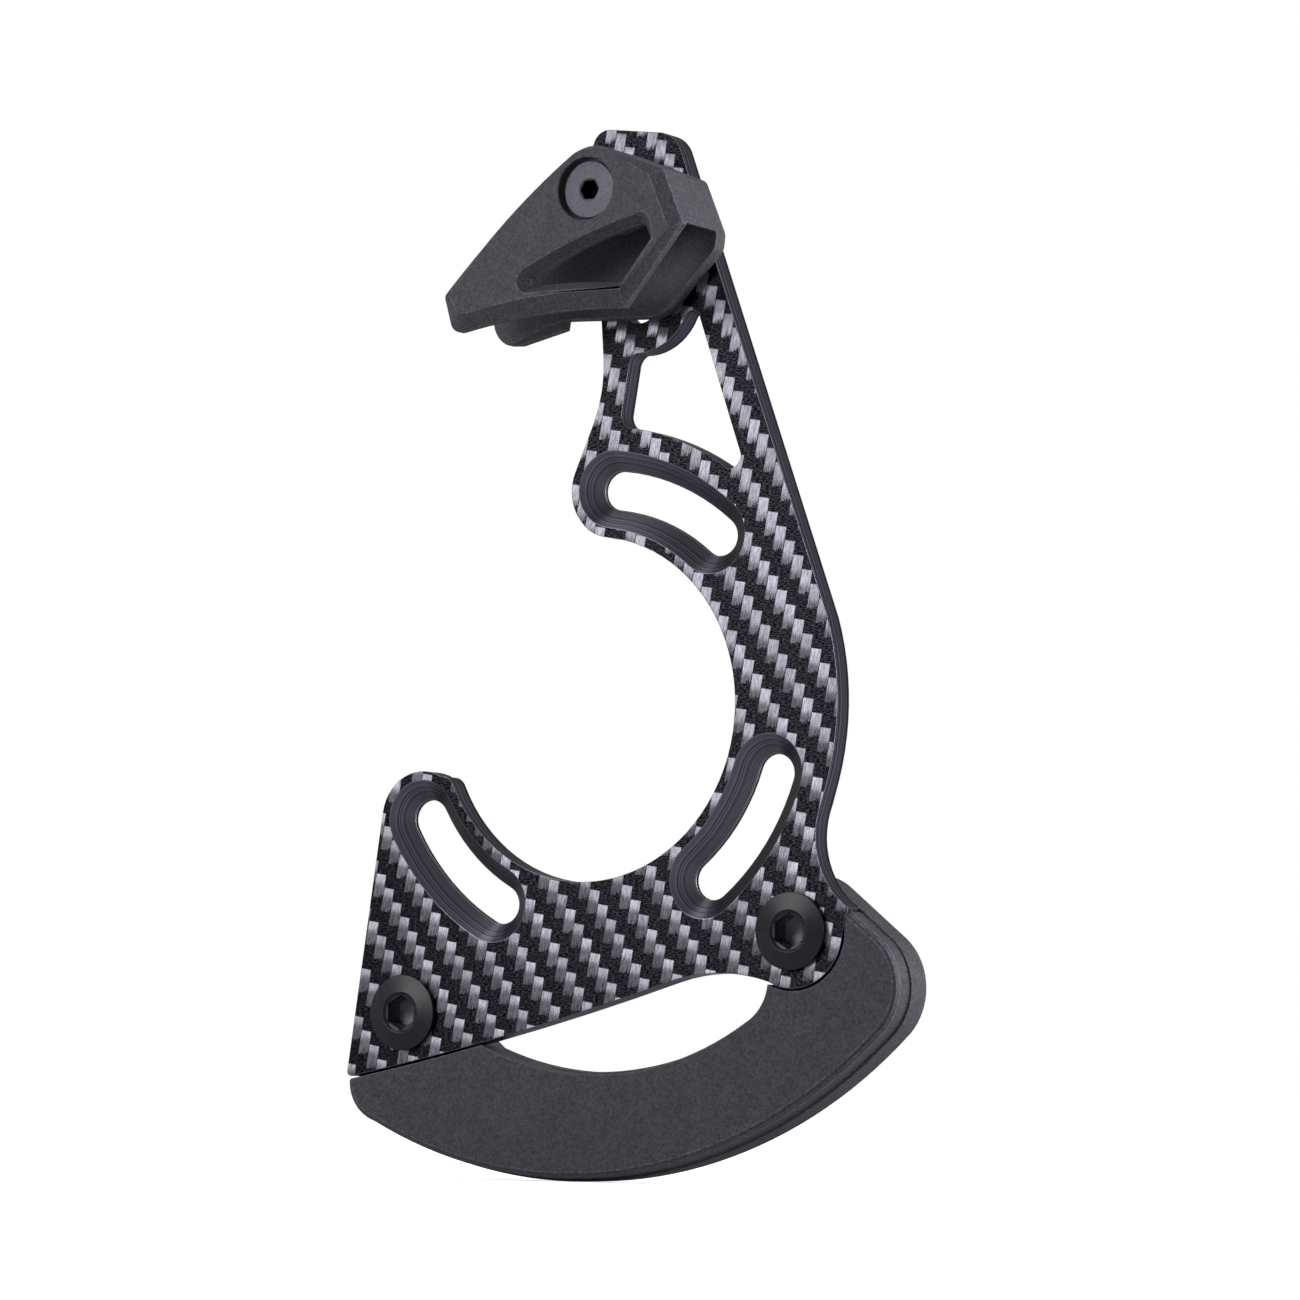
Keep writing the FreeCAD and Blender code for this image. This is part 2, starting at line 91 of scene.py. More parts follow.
def add(tree, kind, inputs=None, **settings):
    """Adds a node. An input is a value, a socket, or a node whose first output is taken."""
    node = tree.nodes.new(kind)
    for name, value in settings.items():
        setattr(node, name, value)
    for key, value in (inputs or {}).items():
        if isinstance(value, bpy.types.Node):
            value = value.outputs[0]
        if isinstance(value, bpy.types.NodeSocket):
            tree.links.new(value, node.inputs[key])
        else:
            node.inputs[key].default_value = value
    return node


def new_finish(name):
    """An empty material with its node tree and its output node."""
    material = bpy.data.materials.new(name)
    material.use_nodes = True
    material.node_tree.nodes.clear()
    return material, material.node_tree, material.node_tree.nodes.new("ShaderNodeOutputMaterial")


print("white is", [round(v, 3) for v in linear("#ffffff")])

# %% [markdown]
# ## Carbon laminate
# The plate is milled from a sheet of woven carbon in epoxy. Flat bundles of fibres, called tows, run
# up and across, and each goes over two and under two of the others, which makes the diagonal steps
# of a twill. Upright tows catch the studio light and look pale, and level ones look nearly black.
# The fibres of both are the same black, so the pale grey of the upright floats below is painted
# sheen in their colour, on top of the shine that the shader gives them.
# An image could hold the weave, but a formula stays sharp at any distance. A Mapping node lays the
# tows: its X counts them, and its Z counts the repeats along them. From those two numbers come the
# column, whether its tow is on top there, and how far along its float the point lies. A float is
# the stretch of a tow that lies on top.

# %% Sizes of the weave
tow_width = 2.006 * mm
weave_repeat = 8.074 * mm
weave_lean = math.radians(9.45)
weave_step = 0.2614
weave_origin = Vector((-1.662, 0, -0.087)) * mm
lean_turn = Matrix.Rotation(weave_lean, 3, "Y")
tow_across = lean_turn @ Vector((1, 0, 0))
tow_along = lean_turn @ Vector((0, 0, 1))
print("tows per 10 mm", round(10 * mm / tow_width, 1))

# %% Count the tows
carbon, laminate, carbon_output = new_finish("carbon_fibre_epoxy_twill")
place = add(laminate, "ShaderNodeTexCoord").outputs["Object"]
tows = add(laminate, "ShaderNodeMapping",
           {"Vector": place, "Location": weave_origin, "Rotation": (0, weave_lean, 0),
            "Scale": (tow_width, 1, weave_repeat)}, vector_type="TEXTURE")
tows = add(laminate, "ShaderNodeSeparateXYZ", {"Vector": tows})
across = tows.outputs["X"]
along = tows.outputs["Z"]
column = add(laminate, "ShaderNodeMath", {0: across}, operation="FLOOR")
side = add(laminate, "ShaderNodeMath", {0: across}, operation="FRACT")

# Each column of floats starts a step lower than the one on its left
climb = add(laminate, "ShaderNodeMath", {0: column, 1: weave_step, 2: along},
            operation="MULTIPLY_ADD")
float_number = add(laminate, "ShaderNodeMath", {0: climb}, operation="FLOOR")
rise = add(laminate, "ShaderNodeMath", {0: climb}, operation="FRACT")
print("counting takes", len(laminate.nodes), "nodes")

# %% [markdown]
# A fibre of carbon is 0.007 mm thick, which is far too fine to show. So the streaks along a tow are
# drawn as coarse as strands of many fibres. They shade the float, and they fray its lower end, where
# the tow dives under the next one. The other three sides of a float are nearly straight. Each side
# is a soft limit on one of the counted numbers, and their product says where a float lies on top.

# %% Streaks along the tows
strand_width = 0.2 * mm
strand_height = 0.02 * mm
streak_length = weave_repeat / 6
column_jump = 7.7
streak_scale = (tow_width / strand_width, column_jump, weave_repeat / streak_length)
streak_place = add(laminate, "ShaderNodeCombineXYZ", {"X": across, "Y": column, "Z": along})
streak_place = add(laminate, "ShaderNodeVectorMath", {0: streak_place, 1: streak_scale},
                   operation="MULTIPLY")
streaks = add(laminate, "ShaderNodeTexNoise", {"Vector": streak_place, "Scale": 1.0, "Detail": 2.0,
                                               "Roughness": 0.65})
print("streaks", round(strand_width / mm, 2), "by", round(streak_length / mm, 2), "mm")

# %% Pale floats
# Lengths are shares of the repeat, and side_blur is a share of the tow's width
float_length = 0.5
head_blur = 0.02
side_blur = 0.07
fray_length = 0.3
foot_slant = 0.1
foot_start = 0.3 * fray_length
foot_end = 0.8 * fray_length

frayed = add(laminate, "ShaderNodeMath", {0: streaks, 1: fray_length, 2: rise},
             operation="MULTIPLY_ADD")
frayed = add(laminate, "ShaderNodeMath", {0: side, 1: -foot_slant, 2: frayed},
             operation="MULTIPLY_ADD")
float_sides = [
    (frayed, foot_start, foot_end),
    (rise, float_length, float_length - head_blur),
    (side, 0.0, side_blur),
    (side, 1.0, 1.0 - side_blur),
]
pale = 1.0
for count, covered, on_top in float_sides:
    limit = add(laminate, "ShaderNodeMapRange",
                {"Value": count, "From Min": covered, "From Max": on_top},
                interpolation_type="SMOOTHSTEP")
    pale = add(laminate, "ShaderNodeMath", {0: pale, 1: limit}, operation="MULTIPLY")
print("a float is", round(float_length * weave_repeat / mm, 1), "mm long")

# %% [markdown]
# No two floats of a real cloth are alike, so each takes its own depth of grey from its column and
# number. Each is also painted a little darker towards the end that dives, a painted shade where the
# float bends away from the light. Level tows stay nearly black, with a fuzz of painted glints along
# their own fibres, which is drawn coarser than the fibres for the same reason as the streaks.

# %% Greys of the tows
# Painted sheen: the upright floats' pale grey is their shine put into their colour
float_painted_sheen = "#57565d"
dark_fibre = "#000001"
dark_fibre_painted_glint = "#19191c"
fuzz_length = 0.6 * mm
fuzz_depth = 1 * mm
fuzz_width = 0.16 * mm

float_seed = add(laminate, "ShaderNodeCombineXYZ", {"X": column, "Y": float_number})
own = add(laminate, "ShaderNodeTexWhiteNoise", {"Vector": float_seed},
          noise_dimensions="2D").outputs["Value"]
own_grey = add(laminate, "ShaderNodeMapRange", {"Value": own, "To Min": 0.8, "To Max": 1.15})
# Painted shade: each float is painted darker towards its lower end, where it dives
painted_dive_shade = add(laminate, "ShaderNodeMapRange",
           {"Value": rise, "From Min": 0.0, "From Max": 0.46, "To Min": 0.85, "To Max": 1.0})
streak_grey = add(laminate, "ShaderNodeMapRange",
                  {"Value": streaks, "From Min": 0.3, "From Max": 0.7, "To Min": 0.45, "To Max": 1.25})
grey = add(laminate, "ShaderNodeMath", {0: own_grey, 1: painted_dive_shade}, operation="MULTIPLY")
grey = add(laminate, "ShaderNodeMath", {0: grey, 1: streak_grey}, operation="MULTIPLY")
# The floats' painted sheen, from black up to its pale grey
painted_sheen_tow = add(laminate, "ShaderNodeMix",
               {"Factor": grey, "A": linear("#000000"), "B": linear(float_painted_sheen)},
               data_type="RGBA", clamp_factor=False)

# Painted glints: a fuzz that lightens the level tows along their fibres, where these catch the light
fuzz_place = add(laminate, "ShaderNodeVectorMath",
                 {0: place, 1: (1 / fuzz_length, 1 / fuzz_depth, 1 / fuzz_width)},
                 operation="MULTIPLY")
painted_glint_fuzz = add(laminate, "ShaderNodeTexNoise", {"Vector": fuzz_place, "Scale": 1.0, "Detail": 2.0})
painted_glint_fuzz = add(laminate, "ShaderNodeMapRange", {"Value": painted_glint_fuzz, "From Min": 0.45, "From Max": 0.65})
dark_tow = add(laminate, "ShaderNodeMix",
               {"Factor": painted_glint_fuzz, "A": linear(dark_fibre), "B": linear(dark_fibre_painted_glint)},
               data_type="RGBA")
weave = add(laminate, "ShaderNodeMix",
            {"Factor": pale, "A": dark_tow.outputs["Result"], "B": painted_sheen_tow.outputs["Result"]},
            data_type="RGBA")
print("greys bring it to", len(laminate.nodes), "nodes")

# %% [markdown]
# Where the cutter went through the sheet, the layers of cloth show as lines at one depth each. A
# noise over the depth alone draws them, and a slow second one lets them wander. A straight wall is
# seen at a slant, so its lines are drawn coarser than the layers, or they would not show. On the
# countersinks, which face the eye, they come out finer. The normal tells face and edge apart.

# %% Layers on milled edges
layer_height = 0.45 * mm
lines_per_layer = 0.65
slope_fineness = 2.4
wander_size = 4 * mm
face_limit = 0.95
cut_resin = "#201f25"
cut_fibre = "#4d4b53"
cut_rim_painted_highlight = "#4f4e55"

normal = add(laminate, "ShaderNodeNewGeometry").outputs["Normal"]
facing = add(laminate, "ShaderNodeSeparateXYZ", {"Vector": normal}).outputs["Y"]
facing = add(laminate, "ShaderNodeMath", {0: facing}, operation="ABSOLUTE")
fineness = add(laminate, "ShaderNodeMath",
               {0: facing, 1: slope_fineness / layer_height, 2: 1 / layer_height},
               operation="MULTIPLY_ADD")
depth = add(laminate, "ShaderNodeSeparateXYZ", {"Vector": place}).outputs["Y"]
wander = add(laminate, "ShaderNodeTexNoise",
             {"Vector": place, "Scale": 1 / wander_size, "Detail": 1.0})
layer = add(laminate, "ShaderNodeMath", {0: depth, 1: fineness, 2: wander},
            operation="MULTIPLY_ADD")
line = add(laminate, "ShaderNodeTexNoise",
           {"W": layer, "Scale": lines_per_layer, "Detail": 3.0, "Roughness": 0.75},
           noise_dimensions="1D")
line = add(laminate, "ShaderNodeMapRange", {"Value": line, "From Min": 0.4, "From Max": 0.6})
edge = add(laminate, "ShaderNodeMix",
           {"Factor": line, "A": linear(cut_resin), "B": linear(cut_fibre)}, data_type="RGBA")
# Painted highlight: the rounded rims take a lighter grey, as if they caught the light
rim = add(laminate, "ShaderNodeAttribute", attribute_name="rim").outputs["Fac"]
edge = add(laminate, "ShaderNodeMix",
           {"Factor": rim, "A": edge.outputs["Result"], "B": linear(cut_rim_painted_highlight)}, data_type="RGBA")
face = add(laminate, "ShaderNodeMath", {0: facing, 1: face_limit}, operation="GREATER_THAN")
colour = add(laminate, "ShaderNodeMix",
             {"Factor": face, "A": edge.outputs["Result"], "B": weave.outputs["Result"]},
             data_type="RGBA")
print("lines on a wall every", round(layer_height / lines_per_layer / mm, 2), "mm")

# %% [markdown]
# Carbon fibres shine almost like a metal, and a bundle of them spreads its shine across itself, like
# brushed steel. So the finish is mostly metallic, and its Tangent turns with the tow. A float is
# also bowed along its length: its upper end leans up and its lower end down. That makes it fade from
# one end to the other, and the fade moves with the light, as on real cloth. The clear epoxy adds a
# weak gloss of its own.

# %% Shine of the laminate
crown_tilt = 0.12
resin_tint = "#7c7b82"

bump = add(laminate, "ShaderNodeBump", {"Height": streaks, "Strength": 0.15, "Distance": strand_height})
bow = add(laminate, "ShaderNodeMath", {0: rise, 1: -2 * math.pi, 2: math.pi},
          operation="MULTIPLY_ADD")
bow = add(laminate, "ShaderNodeMath", {0: bow}, operation="COSINE")
float_on_face = add(laminate, "ShaderNodeMath", {0: pale, 1: face}, operation="MULTIPLY")
bow = add(laminate, "ShaderNodeMath", {0: bow, 1: float_on_face}, operation="MULTIPLY")
lean = add(laminate, "ShaderNodeVectorMath", {0: tow_along * crown_tilt, 1: bow, 2: bump},
           operation="MULTIPLY_ADD")
lean = add(laminate, "ShaderNodeVectorMath", {0: lean}, operation="NORMALIZE")
spread = add(laminate, "ShaderNodeMix", {"Factor": float_on_face, "A": tow_along, "B": tow_across},
             data_type="VECTOR")
surface = add(laminate, "ShaderNodeBsdfPrincipled", {
    "Base Color": colour.outputs["Result"], "Metallic": 0.85, "Roughness": 0.36, "IOR": 1.55,
    "Specular IOR Level": 0.15, "Specular Tint": linear(resin_tint), "Anisotropic": 0.88,
    "Tangent": spread.outputs["Result"], "Normal": lean})
laminate.links.new(surface.outputs[0], carbon_output.inputs["Surface"])
print(carbon.name, len(laminate.nodes), "nodes")

# %% [markdown]
# ## Moulded nylon
# Guide and guard are injection moulded in black nylon. The tool's steel was spark eroded, so every
# face has a fine matt grain, which gives the eye a dull, even black. A noise at the size of the grain
# gives the bump and a faint speckle, and a larger one lets the black vary a little, as filled nylon
# does where it flowed. A real grain is about 0.1 mm and would not show, so it is drawn coarser. Grains
# hide one another's shine at a slant, so the finish is rougher where it is seen at one. A Bevel node
# lets the light roll over an edge a little further than the mesh is rounded.

# %% Grain of the mould
grain_size = 0.42 * mm
grain_height = 0.05 * mm
mottle_size = 2.5 * mm
edge_softness = 0.45 * mm
nylon_black = "#1a191e"
nylon_grey = "#25242a"
nylon_rim_painted_highlight = "#313036"


def moulded_nylon():
    """Black nylon with the grain of its mould, and a painted highlight on its rounded rims."""
    material, tree, output = new_finish("moulded_black_nylon")
    place = add(tree, "ShaderNodeTexCoord").outputs["Object"]
    grain = add(tree, "ShaderNodeTexNoise", {"Vector": place, "Scale": 1 / grain_size, "Detail": 2.0})
    mottle = add(tree, "ShaderNodeTexNoise", {"Vector": place, "Scale": 1 / mottle_size, "Detail": 3.0})
    colour = add(tree, "ShaderNodeMix",
                 {"Factor": mottle, "A": linear(nylon_black), "B": linear(nylon_grey)},
                 data_type="RGBA")
    # Painted highlight: the rounded strips take a lighter grey, as if they caught the light
    rim = add(tree, "ShaderNodeAttribute", attribute_name="rim").outputs["Fac"]
    colour = add(tree, "ShaderNodeMix",
                 {"Factor": rim, "A": colour.outputs["Result"], "B": linear(nylon_rim_painted_highlight)},
                 data_type="RGBA")
    speck = add(tree, "ShaderNodeMapRange", {"Value": grain, "From Min": 0.3, "From Max": 0.75,
                                             "To Min": 0.35, "To Max": 1.8})
    colour = add(tree, "ShaderNodeVectorMath", {0: colour.outputs["Result"], 1: speck},
                 operation="MULTIPLY")
    soft = add(tree, "ShaderNodeBevel", {"Radius": edge_softness}, samples=6)
    bump = add(tree, "ShaderNodeBump", {"Height": grain, "Strength": 0.5, "Distance": grain_height,
                                        "Normal": soft})
    slant = add(tree, "ShaderNodeLayerWeight").outputs["Facing"]
    rough = add(tree, "ShaderNodeMapRange", {"Value": slant, "From Min": 0.6, "From Max": 0.8,
                                             "To Min": 0.64, "To Max": 1.0})
    surface = add(tree, "ShaderNodeBsdfPrincipled", {
        "Base Color": colour, "Roughness": rough, "IOR": 1.53, "Specular IOR Level": 0.14,
        "Normal": bump})
    tree.links.new(surface.outputs[0], output.inputs["Surface"])
    return material


nylon = moulded_nylon()
print(nylon.name, "grain of", grain_size / mm, "mm")

# %% [markdown]
# ## Black metal
# The wide guard bolts and the nuts are cut from aluminium and anodised black. The tool leaves fine
# rings under the dye, which give a soft satin shine, and a weak one, because the dyed skin is an oxide
# and not bare metal. The guide's own bolt is steel in black oxide, a touch greyer and duller. Each
# turned mesh carries three attributes for this: reach is the distance from its own axis, ring is the
# direction that the tool ran in, which draws the shine out into sectors, and socket marks the walls
# that the key reaches. The milled slide nut has no rings, so a slant that is too small to turn the
# rings' own direction gives its cutter marks one. The steps of a fine cut, about 0.05 mm, would not
# show, so the rings are drawn coarser.

# %% Anodised and oxidised metal
turning_pitch = 0.16 * mm
ring_height = 0.02 * mm
wear_size = 0.6 * mm
wear_roughness = 0.06
milled_slant = Vector((0.4, 0.3, 0.5)) * 0.01


def black_metal(name, dark, light, painted_socket_shading, roughness, metallic):
    """Turned metal under a black skin, with its own colour painted on the walls of a key's socket for
    the light and shade in there.
    """
    material, tree, output = new_finish(name)
    place = add(tree, "ShaderNodeTexCoord").outputs["Object"]
    wear = add(tree, "ShaderNodeTexNoise", {"Vector": place, "Scale": 1 / wear_size, "Detail": 3.0})
    colour = add(tree, "ShaderNodeMix", {"Factor": wear, "A": linear(dark), "B": linear(light)},
                 data_type="RGBA")
    socket = add(tree, "ShaderNodeAttribute", attribute_name="socket").outputs["Fac"]
    colour = add(tree, "ShaderNodeMix",
                 {"Factor": socket, "A": colour.outputs["Result"], "B": linear(painted_socket_shading)},
                 data_type="RGBA")
    rough = add(tree, "ShaderNodeMapRange", {"Value": wear, "To Min": roughness - wear_roughness,
                                             "To Max": roughness + wear_roughness})
    reach = add(tree, "ShaderNodeAttribute", attribute_name="reach").outputs["Fac"]
    rings = add(tree, "ShaderNodeTexNoise", {"W": reach, "Scale": 1 / turning_pitch, "Detail": 1.0},
                noise_dimensions="1D")
    bump = add(tree, "ShaderNodeBump", {"Height": rings, "Strength": 0.25, "Distance": ring_height})
    run = add(tree, "ShaderNodeAttribute", attribute_name="ring").outputs["Vector"]
    run = add(tree, "ShaderNodeVectorMath", {0: run, 1: milled_slant}, operation="ADD")
    surface = add(tree, "ShaderNodeBsdfPrincipled", {
        "Base Color": colour.outputs["Result"], "Metallic": metallic, "Roughness": rough,
        "Specular IOR Level": 0.09, "Anisotropic": 0.7, "Tangent": run, "Normal": bump})
    tree.links.new(surface.outputs[0], output.inputs["Surface"])
    return material


# Painted light and shade in the sockets: the anodised bolts' socket walls are painted a lighter grey,
# as painted light that reaches in, and the oxide bolt's are painted near black, as painted shade.
anodised = black_metal("black_anodised_aluminium", dark="#0c0b0f", light="#121116",
                       painted_socket_shading="#4a484f", roughness=0.26, metallic=0.0)
oxide = black_metal("black_oxide_steel", dark="#1b1a1f", light="#434149",
                    painted_socket_shading="#020203", roughness=0.45, metallic=0.3)
print(anodised.name, oxide.name)

# %% [markdown]
# ## Pieces with soft edges
# Nothing leaves a mould with a sharp edge, and it is the small round that catches the light and
# draws the outline of a black part. The solids have sharp edges, which keeps them exact. So each
# piece gets a copy: its triangles are merged into the flat faces they came from, and a Bevel
# modifier rounds every edge that turns by more than a limit. That is done in millimetres, because
# Blender's own tolerances are too coarse for a part of this size in metres, and scaled back after.
# The rounded strips are marked in an attribute named rim, which the laminate and the nylon read to
# paint the strips a lighter grey, a painted highlight along the edges. The copy stands for its solid.

# %% Rounding a copy
sharp_turn = math.radians(20)
rounding_segments = 3


def new_piece(name, shell):
    """An object at the origin with the mesh of a bmesh, which is used up."""
    mesh = bpy.data.meshes.new(name)
    shell.to_mesh(mesh)
    shell.free()
    piece = bpy.data.objects.new(name, mesh)
    bpy.context.scene.collection.objects.link(piece)
    return piece


def settle(piece):
    """Makes what the modifiers give the piece's own plain mesh."""
    graph = bpy.context.evaluated_depsgraph_get()
    plain = bpy.data.meshes.new_from_object(piece.evaluated_get(graph))
    piece.modifiers.clear()
    piece.data = plain


def round_edges(piece, radius):
    """Rounds a piece made in millimetres, marks the strips as its rim, and brings it to metres."""
    piece.data.shade_smooth()
    piece.data.materials.append(None)
    piece.data.materials.append(None)
    rounding = piece.modifiers.new("rounding", "BEVEL")
    rounding.width = radius
    rounding.segments = rounding_segments
    rounding.material = 1
    rounding.limit_method = "ANGLE"
    rounding.angle_limit = sharp_turn
    rounding.use_clamp_overlap = False
    rounding.harden_normals = True
    plain_faces = piece.modifiers.new("plain_faces", "TRIANGULATE")
    plain_faces.min_vertices = 5
    plain_faces.ngon_method = "CLIP"
    plain_faces.keep_custom_normals = True
    settle(piece)
    rim = piece.data.attributes.new("rim", "FLOAT", "FACE")
    for face, mark in zip(piece.data.polygons, rim.data):
        mark.value = face.material_index
        face.material_index = 0
    piece.data.transform(Matrix.Scale(mm, 4))


def stand_for(piece, node, finish):
    """The piece takes a finish, and the place of a CAD node on its body."""
    piece.data.materials.clear()
    piece.data.materials.append(finish)
    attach(piece, body_of[node])
    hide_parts(node)
    print(piece.name, "for", node, len(piece.data.polygons), "faces")


print("edges that turn by over", round(math.degrees(sharp_turn)), "degrees are rounded")

# %% [markdown]
# Merging comes before rounding, because a triangle's edge that ends at a sharp edge would bend the
# rounded strip there. The edges that run closest along a sharp one go first, and two faces are only
# joined where they meet along one run of edges, so that no face closes round a hole.

# %% Flat faces out of triangles
flat_turn = math.radians(0.2)
weld = 0.002


def closeness(edge):
    """How nearly a flat edge runs along a sharp one at either end: 1 is right beside it."""
    found = 0.0
    for vert in edge.verts:
        along = (edge.other_vert(vert).co - vert.co).normalized()
        for other in vert.link_edges:
            if other.calc_face_angle(0.0) > flat_turn:
                found = max(found, along.dot((other.other_vert(vert).co - vert.co).normalized()))
    return found


def merge_flats(shell):
    """Joins flat neighbours that meet along one run of edges, the edges in a rounding's way first."""
    flat = [edge for edge in shell.edges if edge.calc_face_angle(math.pi) < flat_turn]
    for edge in sorted(flat, key=closeness, reverse=True):
        if not edge.is_valid:
            continue
        one, other = edge.link_faces
        shared = set(one.edges) & set(other.edges)
        if len(set(one.verts) & set(other.verts)) == len(shared) + 1:
            bmesh.utils.face_join((one, other))


def soft_copy(node, radius, finish):
    """A rounded copy of a CAD node that stands for it, without the normals of its sharp faces."""
    shell = bmesh.new()
    shell.from_mesh(nodes[node].data)
    shell.transform(Matrix.Scale(1 / mm, 4))
    bmesh.ops.remove_doubles(shell, verts=shell.verts, dist=weld)
    merge_flats(shell)
    piece = new_piece(node + "_rounded", shell)
    for attribute in [a for a in piece.data.attributes if a.name == "custom_normal"]:
        piece.data.attributes.remove(attribute)
    round_edges(piece, radius)
    stand_for(piece, node, finish)


print("corners within", weld, "mm are one")

# %% Guide, guard and slide nut
moulded_radius = 0.15
nut_radius = 0.2
for node in ("guide_outer", "guide_inner", "bash_guard"):
    soft_copy(node, moulded_radius, nylon)
soft_copy("guide_nut", nut_radius, anodised)

# %% [markdown]
# ## Fasteners
# A bolt is turned on a lathe and its socket is pressed in, so its whole surface is a stack of rings
# about one axis, some round and some six-sided. A function takes that list of rings and skins it.
# A solid's facets would show on something this round and this close, so the rings are made anew.

# %% Rings to a mesh
ring_points = 72
circle = 0
hexagon = 6


def turned(name, rings, closed=False, twist=0.0):
    """Skin over rings (half width, depth, sides) about the Y axis, in mm, closed on itself or not."""
    shell = bmesh.new()
    reach = shell.verts.layers.float.new("reach")
    ring = shell.verts.layers.float_vector.new("ring")
    socket = shell.verts.layers.float.new("socket")
    loops = []
    painted_socket_shading = 0.0
    for half, depth, sides in rings:
        loop = []
        for i in range(ring_points):
            angle = 2 * math.pi * i / ring_points
            radius = half
            if sides:
                flat = math.pi / sides
                radius /= math.cos(angle % (2 * flat) - flat)
            angle += math.pi / hexagon + twist
            vert = shell.verts.new((radius * math.cos(angle), depth, radius * math.sin(angle)))
            vert[reach] = radius * mm
            vert[ring] = (-math.sin(angle), 0, math.cos(angle))
            vert[socket] = painted_socket_shading
            loop.append(vert)
        loops.append(loop)
        if sides and not closed:
            painted_socket_shading = 1.0
    pairs = list(zip(loops, loops[1:]))
    if closed:
        pairs.append((loops[-1], loops[0]))
    for one, other in pairs:
        for i in range(ring_points):
            shell.faces.new((one[i - 1], one[i], other[i], other[i - 1]))
    bmesh.ops.remove_doubles(shell, verts=shell.verts, dist=weld)
    bmesh.ops.recalc_face_normals(shell, faces=shell.faces)
    return new_piece(name, shell)


print("a ring has", ring_points, "points")

# %% [markdown]
# The outer sizes are those of the solids, in millimetres. Depths run along Y, and the heads are at
# the negative end, towards the eye. Chamfers and lead-ins are what a thread and a key need. The guide
# bolt's socket goes deeper than its solid's, so that it looks black inside, and its walls are painted
# near black as well, a painted shade.

# %% Rings of the guard bolts and nuts
lead_in = 0.35
tip_chamfer = 0.4
guard_shank = 3.0
guard_tip = 4.4
guard_head = 6.3
guard_seat = -4.0
guard_rim = -4.9
guard_top = -5.5
guard_mouth = 3.4
guard_socket = 2.5
guard_socket_start = -5.1
guard_socket_floor = -1.7
guard_floor_rise = 0.2
guard_socket_point = -1.1
guard_bolt_rings = [
    (0, guard_tip, circle),
    (guard_shank - tip_chamfer, guard_tip, circle),
    (guard_shank, guard_tip - tip_chamfer, circle),
    (guard_shank, guard_seat, circle),
    (guard_head, guard_seat, circle),
    (guard_head, guard_rim, circle),
    (guard_mouth, guard_top, circle),
    (guard_mouth - lead_in, guard_top + lead_in, circle),
    (guard_socket, guard_socket_start, hexagon),
    (guard_socket, guard_socket_floor, hexagon),
    (guard_socket - lead_in, guard_socket_floor + guard_floor_rise, circle),
    (0, guard_socket_point, circle),
]

nut_flat = 5.0
nut_front = 1.8
nut_back = 5.0
nut_corner = 0.25
nut_mouth = 3.3
guard_nut_rings = [
    (guard_shank, nut_front + lead_in, circle),
    (nut_mouth, nut_front, circle),
    (nut_flat - nut_corner, nut_front, circle),
    (nut_flat, nut_front + nut_corner, hexagon),
    (nut_flat, nut_back - nut_corner, hexagon),
    (nut_flat - nut_corner, nut_back, circle),
    (nut_mouth, nut_back, circle),
    (guard_shank, nut_back - lead_in, circle),
]
print("guard bolt", len(guard_bolt_rings), "rings, nut", len(guard_nut_rings), "rings")

# %% Rings of the guide bolt
guide_shank = 2.5
guide_tip = 3.7
guide_head = 4.7
guide_cone = -15.5
guide_rim = -17.7
guide_top = -18.3
guide_socket = 1.5
guide_socket_start = -18.1
guide_socket_dark = -17.9
guide_socket_floor = -14.6
guide_floor_step = 0.2
guide_floor_rise = 0.1
guide_socket_point = -14.2
guide_bolt_rings = [
    (0, guide_tip, circle),
    (guide_shank - lead_in, guide_tip, circle),
    (guide_shank, guide_tip - tip_chamfer, circle),
    (guide_shank, guide_cone, circle),
    (guide_head, guide_rim, circle),
    (guide_head, guide_top, circle),
    (guide_socket + lead_in, guide_top, circle),
    (guide_socket, guide_socket_start, hexagon),
    (guide_socket, guide_socket_dark, hexagon),
    (guide_socket, guide_socket_floor, hexagon),
    (guide_socket - guide_floor_step, guide_socket_floor + guide_floor_rise, circle),
    (0, guide_socket_point, circle),
]
print("guide bolt", len(guide_bolt_rings), "rings")

# %% [markdown]
# Two guard bolts and two nuts are the same thing at two places, so a small Geometry Nodes tree sets
# them there: a line between the first and the last place, with the fastener on each of its points.
# The guide's bolt goes through the same tree, with a count of one. A copy made by hand would do for
# two, but the tree keeps the places apart from the shape.


# %% Places for what repeats
def placing_tree():
    """A node tree that puts a fastener on each point of a line."""
    tree = bpy.data.node_groups.new("fasteners_in_line", "GeometryNodeTree")
    sockets = {"Fastener": "Geometry", "First Place": "Vector", "Last Place": "Vector",
               "Count": "Int", "Finish": "Material"}
    for name, kind in sockets.items():
        tree.interface.new_socket(name, in_out="INPUT", socket_type="NodeSocket" + kind)
    tree.interface.new_socket("Fasteners", in_out="OUTPUT", socket_type="NodeSocketGeometry")
    given = tree.nodes.new("NodeGroupInput").outputs
    line = add(tree, "GeometryNodeMeshLine",
               {"Count": given["Count"], "Start Location": given["First Place"],
                "Offset": given["Last Place"]}, mode="END_POINTS")
    placed = add(tree, "GeometryNodeInstanceOnPoints", {"Points": line, "Instance": given["Fastener"]})
    plain = add(tree, "GeometryNodeRealizeInstances", {"Geometry": placed})
    finished = add(tree, "GeometryNodeSetMaterial", {"Geometry": plain, "Material": given["Finish"]})
    add(tree, "NodeGroupOutput", {"Fasteners": finished})
    return tree


in_line = placing_tree()
socket_of = {item.name: item.identifier for item in in_line.interface.items_tree}
print(in_line.name, socket_of)


